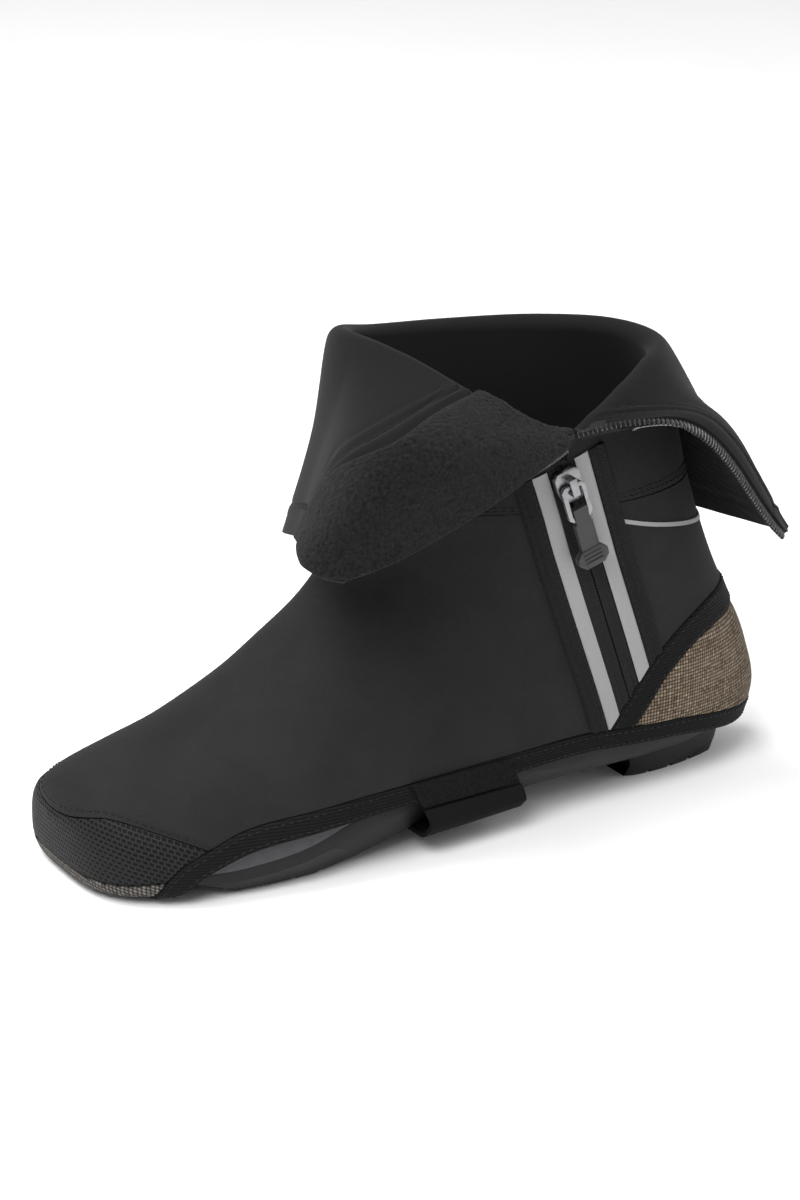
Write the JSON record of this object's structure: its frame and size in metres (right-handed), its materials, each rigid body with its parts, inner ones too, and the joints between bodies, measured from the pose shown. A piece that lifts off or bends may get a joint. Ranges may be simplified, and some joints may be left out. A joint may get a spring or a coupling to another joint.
{
  "type": "overshoe",
  "caption": "Zipped neoprene overshoe for the left foot on a stiff cycling sole, zip half open, collar turned out over the ankle, woven heel panel, mesh toe panel",
  "frame": {"origin": "on the floor, under the middle of the overall box", "axes": "heel towards +X and toe towards -X, outer side of the left foot (with the zip) towards -Y, up +Z"},
  "size_m": [0.282, 0.1268, 0.1801],
  "materials": {
    "neoprene": "near-black matt neoprene with a fine knitted face",
    "lining": "smooth dark grey lining face of the neoprene",
    "mesh_panel": "black open mesh over a grey ground",
    "woven_panel": "coarse basket weave of tan, brown and black yarn",
    "binding": "black stitched webbing",
    "hook_patch": "black hook-and-loop patch",
    "zip_chain": "black coil and woven tape of the zip",
    "zip_tape": "dark grey ribbed tape beside the zip",
    "reflective": "light grey reflective film",
    "fleece": "dark grey fleece",
    "sole": "black moulded rubber",
    "rand": "grey synthetic wall above the sole",
    "footbed": "dark plain footbed",
    "nickel": "bright nickel plate",
    "grip": "dark grey moulded grip"
  },
  "bodies": {
    "root": {"upper": "neoprene", "toe_panel": "mesh_panel", "toe_guard": "woven_panel", "lower_binding": "binding", "counter_binding": "binding", "heel_counter": "woven_panel", "zip_half_front": "zip_chain", "zip_half_rear": "zip_chain", "stripe_front": "reflective", "stripe_rear": "reflective", "tape_front": "zip_tape", "tape_rear": "zip_tape", "collar": "lining", "wind_flap": "fleece", "coil_front": "zip_chain", "coil_rear": "zip_chain", "outsole": "sole", "rand": "rand", "insole": "footbed", "heel_pad": "sole", "arch_strap": "binding", "strap_patch": "hook_patch", "reflective_line": "reflective", "slider": "nickel"},
    "pull": {"pull_link": "nickel", "pull_grip": "grip"}
  },
  "joints": [
    {"name": "pull_tab", "type": "hinge", "parent": "root", "child": "pull", "pos_m": [0.0351, -0.04315, 0.12851], "axis": [-0.9457, 0.0457, -0.3218], "range_deg": [0, 90]}
  ]
}
